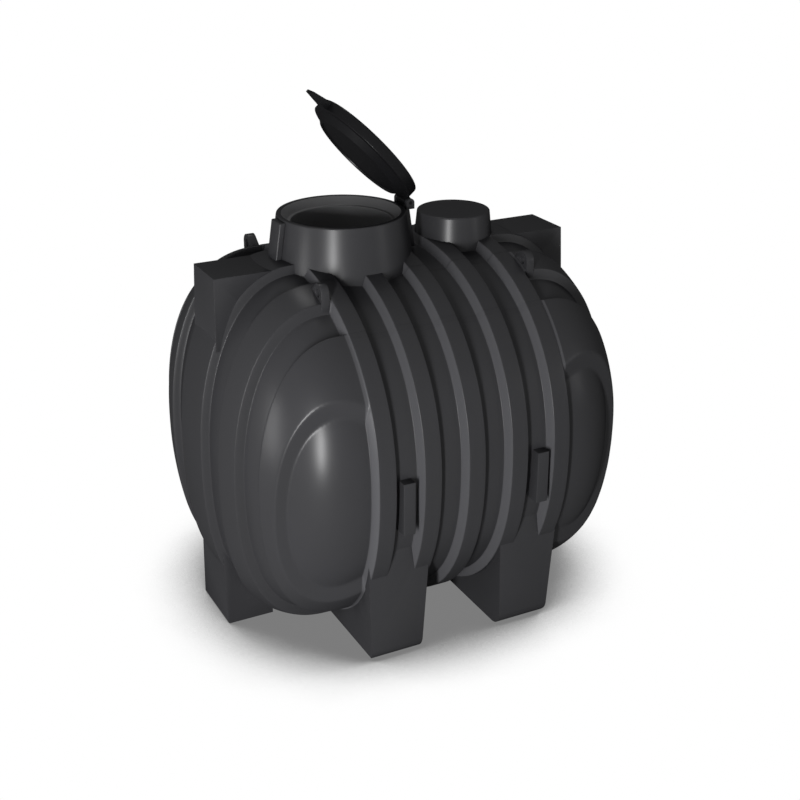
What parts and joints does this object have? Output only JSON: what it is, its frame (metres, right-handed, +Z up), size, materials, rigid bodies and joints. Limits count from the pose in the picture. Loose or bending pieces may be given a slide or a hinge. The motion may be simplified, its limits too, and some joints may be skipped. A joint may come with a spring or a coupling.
{
  "type": "wastewater holding tank",
  "caption": "Ribbed plastic below-ground holding tank with moulded feet, pipe connection boxes, lifting lugs, a closed inspection neck and a manway with a hinged lid.",
  "frame": {"origin": "middle of the footprint, on the floor under the feet", "axes": "+X along the tank towards the inspection neck, +Y across to the rear long side, +Z up"},
  "size_m": [2.1728, 1.956, 2.664],
  "materials": {
    "tank_polyethylene": "satin charcoal rotomoulded polyethylene",
    "lid_polyethylene": "dull black rotomoulded polyethylene",
    "pin_steel": "dull steel"
  },
  "bodies": {
    "root": {"near_end_shell": "tank_polyethylene", "far_end_shell": "tank_polyethylene", "roof_shell": "tank_polyethylene", "belly_shell": "tank_polyethylene", "inlet_box": "tank_polyethylene", "outlet_box": "tank_polyethylene", "near_end_foot": "tank_polyethylene", "far_end_foot": "tank_polyethylene", "front_left_foot": "tank_polyethylene", "front_right_foot": "tank_polyethylene", "rear_left_foot": "tank_polyethylene", "rear_right_foot": "tank_polyethylene", "front_left_strap_block": "tank_polyethylene", "front_right_strap_block": "tank_polyethylene", "rear_left_strap_block": "tank_polyethylene", "rear_right_strap_block": "tank_polyethylene", "front_left_lug": "tank_polyethylene", "front_right_lug": "tank_polyethylene", "rear_left_lug": "tank_polyethylene", "rear_right_lug": "tank_polyethylene", "manway_neck": "tank_polyethylene", "manway_rim": "tank_polyethylene", "latch_boss": "tank_polyethylene", "hinge_pilaster": "tank_polyethylene", "hinge_bracket": "tank_polyethylene", "hinge_pin": "pin_steel", "inspection_neck": "tank_polyethylene", "inspection_cap": "tank_polyethylene"},
    "lid": {"lid_disc": "lid_polyethylene", "lid_plug_ring": "lid_polyethylene", "lid_hinge_knuckle": "lid_polyethylene", "lid_latch_tongue": "lid_polyethylene"}
  },
  "joints": [
    {"name": "lid_hinge", "type": "hinge", "parent": "root", "child": "lid", "pos_m": [0.108, 0, 2.077], "axis": [0, 1, 0], "range_deg": [-49.4, 50.6]}
  ]
}
